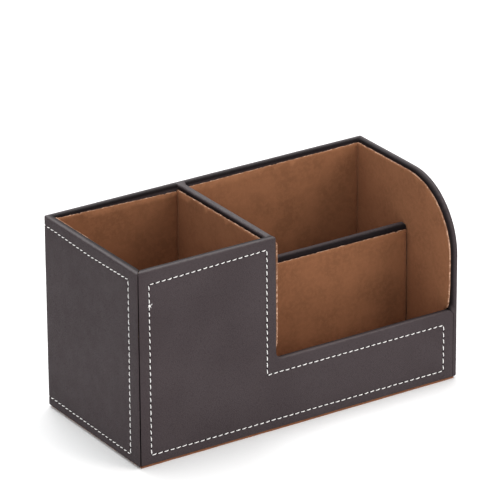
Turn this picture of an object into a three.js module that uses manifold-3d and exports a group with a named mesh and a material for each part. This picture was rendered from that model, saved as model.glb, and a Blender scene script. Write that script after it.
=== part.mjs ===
// Desk organiser: a pen holder box of board panels, covered in stitched imitation leather
// and lined with flocked card. A full-height cross divider makes a tall bay on the left. On the
// right a lower divider separates a pen bay at the back from a tray at the front, whose front
// wall is low and whose right wall has a large rounded corner.
// Millimetres, +X right along the front, +Y towards the back, +Z up.
// The origin is at the middle of the box, on the surface that it stands on.

import * as THREE from 'three';
import { mergeVertices } from 'three/addons/utils/BufferGeometryUtils.js';
import Module from 'manifold-3d';

const wasm = await Module();
wasm.setup();

// ---- driving dimensions ----------------------------------------------------------------------

const WIDTH = 208;
const DEPTH = 95.5;
const HEIGHT = 114.2;

// Thicknesses of the sheets that it is made of, and of the glue between two of them.
const BOARD = 2.7;
const LEATHER = 0.8;
const LINING = 1.1;
const BASE_COVER = 1.1;
const GLUE = 0.1;

const LOW_WALL_TOP = 42;
const NOTCH_FROM_LEFT = 88.1;
const NOTCH_RADIUS = 4.4;
const RIGHT_WALL_RADIUS = 40.7;

const TRAY_DIVIDER_TOP = 80.5;
const TRAY_DIVIDER_FROM_FRONT = 41.6;

const TURN_IN = 14;
const EDGE_CHAMFER = 0.7;
const LEFT_SEAM = 1;
const RIGHT_SEAM = 2.7;

const BACK_LINING_DROP = 2.5;
const LEFT_LINING_DROP = 1.4;
const DIVIDER_LINING_DROP = 2.7;
const NOTCH_LINING_DROP = 4.3;
const RIGHT_LINING_DROP = 1.9;
const RIGHT_LINING_FRONT_INSET = 0.6;
const TRAY_LINING_DROP = 3.3;
const TAB_GAP = 0.3;

const BASE_COVER_FRONT_INSET = 0.7;
const BASE_COVER_SIDE_INSET = 1.7;

const THREAD_WIDTH = 0.6;
const THREAD_HEIGHT = 0.3;
const THREAD_LIFT = 0.05;
const THREAD_OUTSIDE = THREAD_LIFT + THREAD_HEIGHT;

// How far the stitch lines run from the edges of the front face and of the side faces.
const FRONT_STITCH = {
  left: 7.7,
  right: 9.3,
  low: 7.5,
  bottom: 5.4,
  notch: 6.2,
  topLeft: 8,
  topRight: 6,
};
const SIDE_STITCH = { front: 8.4, top: 6.2, bottom: 4.6 };

// Steps in each rounded corner, the distance at which vertices are one vertex, and the step
// between the sizes of layers that are joined.
const ARC_STEPS = 12;
const SAME_VERTEX = 1e-4;
const HAIR = 0.008;

// ---- levels and planes worked out from them --------------------------------------------------

const LEFT = -WIDTH / 2;
const RIGHT = WIDTH / 2;
const FRONT = -DEPTH / 2;
const BACK = DEPTH / 2;

const COVER = LEATHER + GLUE;
const WALL = 2 * COVER + BOARD;
const LINING_FACE = WALL + GLUE;
const BAY_FACE = LINING_FACE + LINING;

const LEATHER_BOTTOM = BASE_COVER + GLUE;
const BOARD_BOTTOM = LEATHER_BOTTOM + COVER;
const BOARD_TOP = HEIGHT - COVER;
const FLOOR_BOTTOM = BOARD_BOTTOM + BOARD + GLUE;
const NOTCH_X = LEFT + NOTCH_FROM_LEFT;
const DIVIDER_LEFT = NOTCH_X - WALL;
const DIVIDER_BAY_LEFT = DIVIDER_LEFT - GLUE - LINING;
const DIVIDER_BAY_RIGHT = NOTCH_X + GLUE + LINING;
const TRAY_DIVIDER_Y = FRONT + TRAY_DIVIDER_FROM_FRONT;
const DIVIDER_FRONT = FRONT + LINING_FACE;
const DIVIDER_BACK = BACK - LINING_FACE;
const TRAY_LEFT = DIVIDER_BAY_RIGHT + GLUE;
const TRAY_RIGHT = RIGHT - BAY_FACE - GLUE;

// ---- materials -------------------------------------------------------------------------------

function finish(color, roughness) {
  return new THREE.MeshStandardMaterial({ color, roughness, metalness: 0 });
}

const leather = () => finish(0x4b4547, 0.55);
const flock = () => finish(0x9a6747, 0.95);
const board = () => finish(0xb28c60, 0.85);
const thread = () => finish(0xe6e2df, 0.7);

// ---- shape helpers ---------------------------------------------------------------------------

const organiser = new THREE.Group();
organiser.name = 'desk_organiser';

function addPiece(name, geometry, material) {
  const piece = new THREE.Mesh(geometry, material);
  piece.name = name;
  organiser.add(piece);
}

function block(x0, x1, y0, y1, z0, z1) {
  const geometry = new THREE.BoxGeometry(x1 - x0, y1 - y0, z1 - z0);
  geometry.translate((x0 + x1) / 2, (y0 + y1) / 2, (z0 + z1) / 2);
  return geometry;
}

function polygon(points) {
  return new THREE.Shape(points.map(([a, b]) => new THREE.Vector2(a, b)));
}

// Extrudes a shape and stands it up: its own axes become the three given directions.
function extrude(shape, thickness, directions) {
  const geometry = new THREE.ExtrudeGeometry(shape, {
    depth: thickness,
    bevelEnabled: false,
    curveSegments: ARC_STEPS,
  });
  const axes = directions.map((direction) => new THREE.Vector3(...direction));
  return geometry.applyMatrix4(new THREE.Matrix4().makeBasis(...axes));
}

// A shape drawn in X and Z, from y0 to y0 + thickness.
function frontPanel(shape, y0, thickness) {
  const geometry = extrude(shape, thickness, [[1, 0, 0], [0, 0, 1], [0, -1, 0]]);
  return geometry.translate(0, y0 + thickness, 0);
}

// A shape drawn in Y and Z, from x0 to x0 + thickness.
function sidePanel(shape, x0, thickness) {
  const geometry = extrude(shape, thickness, [[0, 1, 0], [0, 0, 1], [1, 0, 0]]);
  return geometry.translate(x0, 0, 0);
}

function solid(geometry) {
  const bare = geometry.clone();
  bare.deleteAttribute('normal');
  bare.deleteAttribute('uv');
  const merged = mergeVertices(bare, SAME_VERTEX);
  return new wasm.Manifold(new wasm.Mesh({
    numProp: 3,
    vertProperties: new Float32Array(merged.attributes.position.array),
    triVerts: new Uint32Array(merged.index.array),
  }));
}

function toGeometry(body) {
  const mesh = body.getMesh();
  const geometry = new THREE.BufferGeometry();
  geometry.setAttribute('position', new THREE.BufferAttribute(mesh.vertProperties, 3));
  geometry.setIndex(new THREE.BufferAttribute(mesh.triVerts, 1));
  geometry.computeVertexNormals();
  return geometry;
}

// Joins layers that overlap. Each is a hair smaller than the one before it, so that no two of
// their faces lie in one plane.
function joinLayers(layers) {
  const bodies = layers.map((layer, order) => {
    layer.computeBoundingBox();
    const middle = layer.boundingBox.getCenter(new THREE.Vector3());
    const size = layer.boundingBox.getSize(new THREE.Vector3());
    const factors = size.toArray().map((side) => 1 - (2 * HAIR * order) / side);
    layer.translate(...middle.clone().negate());
    layer.scale(...factors);
    layer.translate(...middle);
    return solid(layer);
  });
  return toGeometry(bodies.reduce((sum, body) => sum.add(body)));
}

// ---- outlines --------------------------------------------------------------------------------

function arc(centreA, centreB, radius, from, to) {
  return new THREE.Path().absarc(centreA, centreB, radius, from, to, false).getPoints(ARC_STEPS);
}

// The front wall's rim, from its left end over the tall part, down the notch and along the low
// part to its right end, moved inward by an inset.
function frontRim(x0, x1, inset) {
  const centreX = NOTCH_X + NOTCH_RADIUS;
  const centreZ = LOW_WALL_TOP + NOTCH_RADIUS;
  return [
    new THREE.Vector2(x0, HEIGHT - inset),
    new THREE.Vector2(NOTCH_X - inset, HEIGHT - inset),
    ...arc(centreX, centreZ, NOTCH_RADIUS + inset, Math.PI, 1.5 * Math.PI),
    new THREE.Vector2(x1, LOW_WALL_TOP - inset),
  ];
}

function frontOutline(x0, x1, bottom, inset) {
  return new THREE.Shape([
    ...frontRim(x0, x1, inset),
    new THREE.Vector2(x1, bottom),
    new THREE.Vector2(x0, bottom),
  ]);
}

// The right wall's rim, from the back over the top and round its large corner down the front.
function rightRim(back, frontEnd, inset) {
  const centreY = FRONT + RIGHT_WALL_RADIUS;
  const centreZ = HEIGHT - RIGHT_WALL_RADIUS;
  return [
    new THREE.Vector2(back, HEIGHT - inset),
    ...arc(centreY, centreZ, RIGHT_WALL_RADIUS - inset, Math.PI / 2, Math.PI),
    new THREE.Vector2(FRONT + inset, frontEnd),
  ];
}

function rightOutline(back, bottom, inset) {
  return new THREE.Shape([
    ...rightRim(back, bottom, inset),
    new THREE.Vector2(back, bottom),
  ]);
}

// The band between a rim line and the same line further in.
function band(outerLine, innerLine) {
  return new THREE.Shape([...outerLine, ...innerLine.reverse()]);
}

// ---- board core ------------------------------------------------------------------------------

const coreLeft = LEFT + COVER + BOARD + GLUE;
const coreRight = RIGHT - COVER - BOARD - GLUE;
const coreFront = FRONT + COVER + BOARD + GLUE;
const coreBack = BACK - COVER - BOARD - GLUE;

const boards = {
  front_board: frontPanel(
    frontOutline(coreLeft, coreRight, BOARD_BOTTOM, COVER),
    FRONT + COVER,
    BOARD,
  ),
  back_board: block(coreLeft, coreRight, BACK - COVER - BOARD, BACK - COVER, BOARD_BOTTOM, BOARD_TOP),
  left_board: block(LEFT + COVER, LEFT + COVER + BOARD, FRONT + COVER, BACK - COVER,
    BOARD_BOTTOM, BOARD_TOP),
  right_board: sidePanel(
    rightOutline(BACK - COVER, BOARD_BOTTOM, COVER),
    RIGHT - COVER - BOARD,
    BOARD,
  ),
  base_board: block(coreLeft, coreRight, coreFront, coreBack, BOARD_BOTTOM, BOARD_BOTTOM + BOARD),
  cross_divider_board: block(DIVIDER_LEFT + COVER, NOTCH_X - COVER, DIVIDER_FRONT, DIVIDER_BACK,
    FLOOR_BOTTOM, BOARD_TOP),
  tray_divider_board: block(TRAY_LEFT, TRAY_RIGHT, TRAY_DIVIDER_Y + COVER,
    TRAY_DIVIDER_Y + COVER + BOARD, FLOOR_BOTTOM, TRAY_DIVIDER_TOP - COVER),
};

for (const [name, geometry] of Object.entries(boards)) {
  addPiece(name, geometry, board());
}

// ---- leather covers --------------------------------------------------------------------------
// A cover is joined from overlapping layers: the outer skin, the fold over the rim, the strip
// turned in behind the rim and the strip turned under the bottom.

const innerSkin = WALL - LEATHER;
const underTop = LEATHER_BOTTOM + LEATHER;
const foldBottom = HEIGHT - LEATHER;
const turnBottom = HEIGHT - TURN_IN;
const foldEnd = LOW_WALL_TOP + GLUE;

function frontLeather() {
  const left = LEFT + LINING_FACE;
  const right = RIGHT - LINING_FACE;
  return joinLayers([
    frontPanel(
      frontOutline(LEFT + LEFT_SEAM, RIGHT - RIGHT_SEAM, LEATHER_BOTTOM, 0),
      FRONT,
      LEATHER,
    ),
    frontPanel(
      band(frontRim(left, coreRight, 0), frontRim(left, coreRight, LEATHER)),
      FRONT,
      WALL,
    ),
    frontPanel(
      band(frontRim(left, right, 0), frontRim(left, right, TURN_IN)),
      FRONT + innerSkin,
      LEATHER,
    ),
    block(LEFT + TURN_IN + GLUE, RIGHT - TURN_IN - GLUE, FRONT, FRONT + TURN_IN,
      LEATHER_BOTTOM, underTop),
  ]);
}

function wrapLeather() {
  const behindFront = FRONT + COVER;
  return joinLayers([
    block(LEFT, RIGHT, BACK - LEATHER, BACK, LEATHER_BOTTOM, HEIGHT),
    block(LEFT, LEFT + LEATHER, FRONT, BACK, LEATHER_BOTTOM, HEIGHT),
    sidePanel(rightOutline(BACK, LEATHER_BOTTOM, 0), RIGHT - LEATHER, LEATHER),
    block(LEFT, LEFT + WALL, behindFront, BACK, foldBottom, HEIGHT),
    block(LEFT, RIGHT, BACK - WALL, BACK, foldBottom, HEIGHT),
    sidePanel(band(rightRim(BACK, foldEnd, 0), rightRim(BACK, foldEnd, LEATHER)), RIGHT - WALL, WALL),
    block(LEFT + innerSkin, LEFT + WALL, coreFront, BACK - innerSkin, turnBottom, HEIGHT),
    block(LEFT + innerSkin, RIGHT - innerSkin, BACK - WALL, BACK - innerSkin, turnBottom, HEIGHT),
    sidePanel(
      band(rightRim(BACK - innerSkin, foldEnd, 0), rightRim(BACK - innerSkin, foldEnd, TURN_IN)),
      RIGHT - WALL,
      LEATHER,
    ),
    block(RIGHT - RIGHT_SEAM + GLUE, RIGHT, FRONT, FRONT + LEATHER, LEATHER_BOTTOM, foldEnd + WALL),
    block(LEFT, LEFT + TURN_IN, behindFront, BACK, LEATHER_BOTTOM, underTop),
    block(RIGHT - TURN_IN, RIGHT, behindFront, BACK, LEATHER_BOTTOM, underTop),
    block(LEFT, RIGHT, BACK - TURN_IN, BACK, LEATHER_BOTTOM, underTop),
  ]);
}

addPiece('front_leather', frontLeather(), leather());
addPiece('wrap_leather', wrapLeather(), leather());

// The section of a cover folded over a divider's top edge, drawn across the divider and up.
function edgeCoverSection(across, top) {
  const outer = across + WALL;
  const bottom = top - TURN_IN;
  const inside = top - LEATHER;
  return polygon([
    [across, bottom],
    [across + LEATHER, bottom],
    [across + LEATHER, inside],
    [outer - LEATHER, inside],
    [outer - LEATHER, bottom],
    [outer, bottom],
    [outer, top - EDGE_CHAMFER],
    [outer - EDGE_CHAMFER, top],
    [across + EDGE_CHAMFER, top],
    [across, top - EDGE_CHAMFER],
  ]);
}

addPiece(
  'cross_divider_leather',
  frontPanel(edgeCoverSection(DIVIDER_LEFT, HEIGHT), DIVIDER_FRONT, DIVIDER_BACK - DIVIDER_FRONT),
  leather(),
);
addPiece(
  'tray_divider_leather',
  sidePanel(edgeCoverSection(TRAY_DIVIDER_Y, TRAY_DIVIDER_TOP), TRAY_LEFT, TRAY_RIGHT - TRAY_LEFT),
  leather(),
);

// ---- flocked linings -------------------------------------------------------------------------

const bayFront = FRONT + BAY_FACE + GLUE;
const bayBack = BACK - BAY_FACE - GLUE;
const pencilBayLeft = LEFT + BAY_FACE + GLUE;
const pencilBayRight = DIVIDER_BAY_LEFT - GLUE;
const trayLiningTop = TRAY_DIVIDER_TOP - TRAY_LINING_DROP;
const dividerTabBottom = LOW_WALL_TOP + NOTCH_RADIUS + TAB_GAP;
const rightTabBottom = LOW_WALL_TOP + TAB_GAP;

// The lining on the cross divider's right face runs forward over the end of the tall front wall.
const dividerRightLining = polygon([
  [FRONT + LINING_FACE, FLOOR_BOTTOM],
  [BACK - LINING_FACE, FLOOR_BOTTOM],
  [BACK - LINING_FACE, HEIGHT - DIVIDER_LINING_DROP],
  [FRONT + RIGHT_LINING_FRONT_INSET, HEIGHT - NOTCH_LINING_DROP],
  [FRONT + RIGHT_LINING_FRONT_INSET, dividerTabBottom],
  [FRONT + LINING_FACE, dividerTabBottom],
]);

// The right wall's lining follows its rounded corner and passes over the end of the low wall.
function rightLining() {
  const front = FRONT + RIGHT_LINING_FRONT_INSET;
  const centre = FRONT + RIGHT_WALL_RADIUS;
  const acrossRadius = RIGHT_WALL_RADIUS - RIGHT_LINING_FRONT_INSET;
  const top = HEIGHT - RIGHT_LINING_DROP;
  const centreHeight = HEIGHT - RIGHT_WALL_RADIUS;
  const shape = new THREE.Shape();
  shape.moveTo(FRONT + LINING_FACE, FLOOR_BOTTOM);
  shape.lineTo(BACK - LINING_FACE, FLOOR_BOTTOM);
  shape.lineTo(BACK - LINING_FACE, top);
  shape.lineTo(centre, top);
  shape.absellipse(centre, centreHeight, acrossRadius, top - centreHeight, Math.PI / 2, Math.PI, false, 0);
  shape.lineTo(front, rightTabBottom);
  shape.lineTo(FRONT + LINING_FACE, rightTabBottom);
  return shape;
}

const rightFace = RIGHT - BAY_FACE;
const floorTop = FLOOR_BOTTOM + LINING;
const trayDividerFront = TRAY_DIVIDER_Y - GLUE;
const trayDividerBack = TRAY_DIVIDER_Y + WALL + GLUE;
const linings = {
  pencil_bay_left_lining: block(LEFT + LINING_FACE, LEFT + BAY_FACE, DIVIDER_FRONT, DIVIDER_BACK,
    FLOOR_BOTTOM, HEIGHT - LEFT_LINING_DROP),
  pencil_bay_right_lining: block(DIVIDER_BAY_LEFT, DIVIDER_BAY_LEFT + LINING, DIVIDER_FRONT,
    DIVIDER_BACK, FLOOR_BOTTOM, HEIGHT - DIVIDER_LINING_DROP),
  pencil_bay_front_lining: block(pencilBayLeft, pencilBayRight, DIVIDER_FRONT,
    DIVIDER_FRONT + LINING, FLOOR_BOTTOM, HEIGHT - DIVIDER_LINING_DROP),
  pencil_bay_back_lining: block(pencilBayLeft, pencilBayRight, DIVIDER_BACK - LINING,
    DIVIDER_BACK, FLOOR_BOTTOM, HEIGHT - BACK_LINING_DROP),
  pencil_bay_floor_lining: block(pencilBayLeft, pencilBayRight, bayFront, bayBack,
    FLOOR_BOTTOM, floorTop),
  cross_divider_right_lining: sidePanel(dividerRightLining, NOTCH_X + GLUE, LINING),
  right_wall_lining: sidePanel(rightLining(), rightFace, LINING),
  pen_bay_back_lining: block(TRAY_LEFT, TRAY_RIGHT, DIVIDER_BACK - LINING, DIVIDER_BACK,
    FLOOR_BOTTOM, HEIGHT - BACK_LINING_DROP),
  pen_bay_front_lining: block(TRAY_LEFT, TRAY_RIGHT, trayDividerBack, trayDividerBack + LINING,
    FLOOR_BOTTOM, trayLiningTop),
  pen_bay_floor_lining: block(TRAY_LEFT, TRAY_RIGHT, trayDividerBack + LINING + GLUE, bayBack,
    FLOOR_BOTTOM, floorTop),
  tray_back_lining: block(TRAY_LEFT, TRAY_RIGHT, trayDividerFront - LINING, trayDividerFront,
    FLOOR_BOTTOM, trayLiningTop),
  tray_front_lining: block(TRAY_LEFT, TRAY_RIGHT, DIVIDER_FRONT, DIVIDER_FRONT + LINING,
    FLOOR_BOTTOM, LOW_WALL_TOP - BACK_LINING_DROP),
  tray_floor_lining: block(TRAY_LEFT, TRAY_RIGHT, bayFront, trayDividerFront - LINING - GLUE,
    FLOOR_BOTTOM, floorTop),
};

for (const [name, geometry] of Object.entries(linings)) {
  addPiece(name, geometry, flock());
}

// The flocked sheet glued under the box, which it stands on.
addPiece('base_cover', block(
  LEFT + BASE_COVER_SIDE_INSET,
  RIGHT - BASE_COVER_SIDE_INSET,
  FRONT + BASE_COVER_FRONT_INSET,
  BACK - BASE_COVER_SIDE_INSET,
  0,
  BASE_COVER,
), flock());

// ---- stitching -------------------------------------------------------------------------------

// One closed line of thread on the front face, inside the outline of the front wall.
function frontStitching() {
  const line = (grow) => {
    const left = LEFT + FRONT_STITCH.left - grow;
    const right = RIGHT - FRONT_STITCH.right + grow;
    const notch = NOTCH_X - FRONT_STITCH.notch + grow;
    const low = LOW_WALL_TOP - FRONT_STITCH.low + grow;
    const bottom = LEATHER_BOTTOM + FRONT_STITCH.bottom - grow;
    return polygon([
      [left, bottom],
      [right, bottom],
      [right, low],
      [notch, low],
      [notch, HEIGHT - FRONT_STITCH.topRight + grow],
      [left, HEIGHT - FRONT_STITCH.topLeft + grow],
    ]);
  };
  const shape = line(THREAD_WIDTH / 2);
  shape.holes.push(line(-THREAD_WIDTH / 2));
  return frontPanel(shape, FRONT - THREAD_LIFT - THREAD_HEIGHT, THREAD_HEIGHT);
}

addPiece('front_stitching', frontStitching(), thread());

// The stitch line on a side face, from the back over the top, down the front and back along the
// bottom, with its top front corner rounded to the given radius.
function sideStitch(cornerRadius, grow) {
  const front = FRONT + SIDE_STITCH.front - grow;
  const top = HEIGHT - SIDE_STITCH.top + grow;
  const bottom = LEATHER_BOTTOM + SIDE_STITCH.bottom - grow;
  const radius = cornerRadius + grow;
  return [
    new THREE.Vector2(BACK + THREAD_OUTSIDE, top),
    ...arc(front + radius, top - radius, radius, Math.PI / 2, Math.PI),
    new THREE.Vector2(front, bottom),
    new THREE.Vector2(BACK + THREAD_OUTSIDE, bottom),
  ];
}

function sideThread(cornerRadius, x0) {
  const half = THREAD_WIDTH / 2;
  const line = band(sideStitch(cornerRadius, half), sideStitch(cornerRadius, -half));
  return sidePanel(line, x0, THREAD_HEIGHT);
}

function backThread(height) {
  return block(LEFT - THREAD_OUTSIDE, RIGHT + THREAD_OUTSIDE, BACK + THREAD_LIFT,
    BACK + THREAD_OUTSIDE, height - THREAD_WIDTH / 2, height + THREAD_WIDTH / 2);
}

// One closed line of thread round the left, back and right faces.
addPiece('wrap_stitching', joinLayers([
  sideThread(THREAD_WIDTH, LEFT - THREAD_OUTSIDE),
  sideThread(RIGHT_WALL_RADIUS - SIDE_STITCH.front, RIGHT + THREAD_LIFT),
  backThread(HEIGHT - SIDE_STITCH.top),
  backThread(LEATHER_BOTTOM + SIDE_STITCH.bottom),
]), thread());

export default organiser;
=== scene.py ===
"""Desk organiser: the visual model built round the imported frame.

Leather covers with rounded folds, flocked linings with raw cut edges, and every stitch of the
two seams. Lengths are in millimetres until a mesh is made, and heights are above the desk.
"""

import math
import random

import bmesh
import bpy
import numpy as np
from mathutils import Matrix, Vector, noise
from mathutils.geometry import delaunay_2d_cdt


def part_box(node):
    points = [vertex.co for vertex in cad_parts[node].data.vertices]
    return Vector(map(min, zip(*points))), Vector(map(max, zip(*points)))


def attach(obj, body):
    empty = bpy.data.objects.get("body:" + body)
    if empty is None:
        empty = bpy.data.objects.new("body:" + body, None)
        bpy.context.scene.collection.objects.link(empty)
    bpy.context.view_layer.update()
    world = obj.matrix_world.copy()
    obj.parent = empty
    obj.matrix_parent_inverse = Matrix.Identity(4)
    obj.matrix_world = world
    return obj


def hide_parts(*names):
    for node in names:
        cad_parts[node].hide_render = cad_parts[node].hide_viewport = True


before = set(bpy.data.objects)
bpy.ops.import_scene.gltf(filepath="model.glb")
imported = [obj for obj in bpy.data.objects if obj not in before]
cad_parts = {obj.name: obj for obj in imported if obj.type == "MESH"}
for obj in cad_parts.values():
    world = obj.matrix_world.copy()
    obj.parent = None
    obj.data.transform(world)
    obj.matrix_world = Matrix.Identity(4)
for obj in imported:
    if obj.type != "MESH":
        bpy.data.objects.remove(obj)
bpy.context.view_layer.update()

MM = 0.001


def box_mm(node):
    low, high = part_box(node)
    return low / MM, high / MM


# ---- sizes from the frame ----

wrap_low, wrap_high = box_mm("wrap_leather")
divider_low, divider_high = box_mm("cross_divider_leather")
tray_rim_low, tray_rim_high = box_mm("tray_divider_leather")
low_lining_high = box_mm("tray_front_lining")[1]

LEFT, FRONT, UNDER = wrap_low
RIGHT, BACK, TOP = wrap_high
WALL = divider_high.x - divider_low.x
NOTCH = divider_high.x
LINING_DROP = 2.5
LOW_TOP = low_lining_high.z + LINING_DROP

NOTCH_RADIUS = 4.4
WALL_RADIUS = 40.7
ARC_CENTRE_Y = FRONT + WALL_RADIUS
ARC_CENTRE_Z = TOP - WALL_RADIUS
TURN_IN = 14.0
LEATHER = 0.7

# The gaps that the front cover and the linings leave to the inner sides of the walls beside them.
STRIP_GAP = 0.06
END_GAP = 0.1

# The seams: where the two covers meet on the front face, and the slanted end of the right seam.
LEFT_SEAM = LEFT + 1.0
LEFT_SEAM_GAP = 0.6
RIGHT_SEAM = RIGHT - 2.7
RIGHT_SEAM_GAP = 0.12
WRAP_LEFT_EDGE = LEFT_SEAM - LEFT_SEAM_GAP / 2
FRONT_LEFT_EDGE = LEFT_SEAM + LEFT_SEAM_GAP / 2
FRONT_RIGHT_EDGE = RIGHT_SEAM - RIGHT_SEAM_GAP / 2
WRAP_RIGHT_EDGE = RIGHT_SEAM + RIGHT_SEAM_GAP / 2
SEAM_SLANT = 2.0
TUCK = 0.8
TUCKED = FRONT + TUCK

# Radii of the rounded folds.
RIM_ROUND = 1.1
CORNER_ROUND = 1.7
FRONT_CORNER_ROUND = 0.4
BOTTOM_ROUND = 0.9
SEAM_ROUND = 0.2
FOLD_SEGMENTS = 5
FOLD_ANGLE = math.radians(25)

# How strongly painted shade darkens the leather down the inner side of a rim and the flanks of a
# cap, from 0 to 1.
INNER_SHADE = 0.6

# The leather's mesh: how fine it is, from which area in square millimetres a face is refilled,
# how far it lies uneven, and how wide its bumps are on the covers and on the caps.
SKIN_SPACING = 4.5
STRIP_SPACING = 4.5
LARGE_FACE = 450
UNEVENNESS = 0.1
COVER_BUMPS = 30
CAP_BUMPS = 14

# Stitches, and how far their lines run from the edges that they follow.
PITCH = 3.8
STITCH = 2.75
STITCH_RINGS = 8
PLY_RADIUS = 0.18
THREAD_HALF = 0.3
TOP_LINE_FALL = 2.0
NOTCH_LINE_INSET = 6.2
LEDGE_LINE_DROP = 7.5
SIDE_LINE_INSET = 8.4
HOLE_DEPTH = 0.42
DENT_DEPTH = 0.2
KNOT_HEIGHT = 0.825 * TOP

# Steps of place between two seeds of the smooth noise.
SEED_STEPS = (7.3, 3.1, 5.7)


# ---- small helpers ----

def srgb(red, green, blue):
    """A colour given in display values from 0 to 255, as the linear values that nodes take."""
    def linear(value):
        share = value / 255
        return share / 12.92 if share <= 0.04045 else ((share + 0.055) / 1.055) ** 2.4
    return (linear(red), linear(green), linear(blue), 1.0)


def arc(centre_a, centre_b, radius, start, end, steps):
    """Points on an arc in two dimensions, both ends included."""
    angles = [start + (end - start) * i / steps for i in range(steps + 1)]
    return [(centre_a + radius * math.cos(t), centre_b + radius * math.sin(t)) for t in angles]


def wave(point, size, seed):
    """Smooth noise from -1 to 1 whose bumps are about size millimetres across."""
    return noise.noise(Vector(point) / size + Vector([seed * step for step in SEED_STEPS]))


def finish_mesh(name, bm, materials):
    """Turns a bmesh in millimetres into an object in metres."""
    bmesh.ops.scale(bm, vec=(MM, MM, MM), verts=bm.verts)
    mesh = bpy.data.meshes.new(name)
    bm.to_mesh(mesh)
    bm.free()
    for material in materials:
        mesh.materials.append(material)
    mesh.shade_smooth()
    piece = bpy.data.objects.new(name, mesh)
    bpy.context.scene.collection.objects.link(piece)
    return piece


def apply_modifiers(piece):
    """Makes what the modifiers show the piece's own mesh."""
    bpy.context.view_layer.update()
    depsgraph = bpy.context.evaluated_depsgraph_get()
    mesh = bpy.data.meshes.new_from_object(piece.evaluated_get(depsgraph))
    old = piece.data
    piece.modifiers.clear()
    piece.data = mesh
    bpy.data.meshes.remove(old)


def thicken(piece, thickness, edge_material=0):
    """Gives a skin its thickness in millimetres, inward from the side that its faces point to."""
    thick = piece.modifiers.new("thickness", "SOLIDIFY")
    thick.thickness = thickness * MM
    thick.offset = -1
    thick.material_offset_rim = edge_material
    apply_modifiers(piece)


def turn_outward(bm, facing):
    """Reverses all faces if they point inward, where the number facing is negative."""
    if facing < 0:
        bmesh.ops.reverse_faces(bm, faces=bm.faces)


def place(piece, nodes):
    """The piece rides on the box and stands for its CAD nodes."""
    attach(piece, "root")
    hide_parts(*nodes)


# ---- flat faces filled with small triangles ----

def distance_to_outline(points, outline):
    """For each point its distance to a closed outline, negative outside it."""
    points = np.asarray(points, float)
    a = np.asarray(outline, float)
    b = np.roll(a, -1, axis=0)
    along = b - a
    offset = points[:, None, :] - a[None, :, :]
    share = np.clip((offset * along).sum(2) / np.maximum((along ** 2).sum(1), 1e-12), 0, 1)
    nearest = np.sqrt(((offset - share[..., None] * along) ** 2).sum(2)).min(1)
    above = (a[None, :, 1] > points[:, None, 1]) != (b[None, :, 1] > points[:, None, 1])
    rise = np.where(np.abs(along[:, 1]) < 1e-12, 1e-12, along[:, 1])
    crossing = a[:, 0] + (points[:, None, 1] - a[:, 1]) * along[:, 0] / rise
    inside = (above & (points[:, None, 0] < crossing)).sum(1) % 2 == 1
    return np.where(inside, nearest, -nearest)


def grid_inside(outline, spacing, margin):
    """A grid of points inside an outline that keeps a margin to it."""
    a = np.asarray(outline, float)
    low, high = a.min(0), a.max(0)
    counts = np.maximum(np.round((high - low) / spacing).astype(int), 1)
    us = low[0] + (np.arange(counts[0]) + 0.5) * (high[0] - low[0]) / counts[0]
    vs = low[1] + (np.arange(counts[1]) + 0.5) * (high[1] - low[1]) / counts[1]
    points = np.array([(u, v) for u in us for v in vs])
    return points[distance_to_outline(points, outline) > margin]


def triangulate(outline, inner):
    """All points, triangles and each point's sources, from an outline with points inside it."""
    points = [Vector(p) for p in outline] + [Vector(p) for p in inner]
    made = delaunay_2d_cdt(points, [], [list(range(len(outline)))], 1, 1e-5)
    return made[0], made[2], made[3]


def face_axes(normal):
    """Two axes in a flat face, for drawing on it."""
    if abs(normal.z) > 0.5:
        first = Vector((1, 0, 0))
    else:
        first = Vector((0, 0, 1)).cross(normal).normalized()
    return first, normal.cross(first)


def refill(bm, face, spacing, pressed):
    """Fills a flat face with small triangles. Pressed points sink by the depth given with each."""
    painted_shade = bm.verts.layers.float["painted_shade"]
    normal = face.normal.copy()
    origin = face.verts[0].co.copy()
    first, second = face_axes(normal)
    ring = list(face.verts)
    outline = [((v.co - origin).dot(first), (v.co - origin).dot(second)) for v in ring]
    on_face = [(p, depth) for p, depth in pressed if abs((p - origin).dot(normal)) < 0.05]
    sunk = [((p - origin).dot(first), (p - origin).dot(second)) for p, depth in on_face]
    depths = [depth for p, depth in on_face]
    if sunk:
        keep = distance_to_outline(sunk, outline) > 0.4
        sunk = [p for p, k in zip(sunk, keep) if k]
        depths = [d for d, k in zip(depths, keep) if k]
    grid = grid_inside(outline, spacing, 0.35 * spacing)
    if sunk and len(grid):
        gaps = np.abs(grid[:, None, :] - np.array(sunk)[None, :, :]).max(2).min(1)
        grid = grid[gaps > 0.3 * spacing]
    inner = sunk + [tuple(p) for p in grid]
    depths += [0.0] * len(grid)
    points, triangles, sources = triangulate(outline, inner)
    verts = []
    for point, source in zip(points, sources):
        known = [i for i in source if i < len(ring)]
        if known:
            verts.append(ring[known[0]])
            continue
        depth = depths[source[0] - len(ring)] if source else 0.0
        vert = bm.verts.new(origin + first * point.x + second * point.y - normal * depth)
        # Points pressed in as deep as a stitch hole get full painted shade.
        vert[painted_shade] = 1.0 if depth >= HOLE_DEPTH else 0.0
        verts.append(vert)
    bm.faces.remove(face)
    for triangle in triangles:
        corners = [verts[i] for i in triangle]
        if len(set(corners)) == 3:
            bm.faces.new(corners)


# ---- leather covers ----

class Cover:
    """A leather cover as flat faces that share corners, before its folds are rounded."""

    def __init__(self):
        self.bm = bmesh.new()
        self.corners = {}

    def corner(self, point):
        key = tuple(round(c, 3) for c in point)
        if key not in self.corners:
            self.corners[key] = self.bm.verts.new(key)
        return self.corners[key]

    def face(self, *points):
        self.bm.faces.new([self.corner(p) for p in points])

    def strip(self, first, second):
        """Quads between two lines with the same number of points."""
        for i in range(len(first) - 1):
            self.face(first[i], first[i + 1], second[i + 1], second[i])


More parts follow.
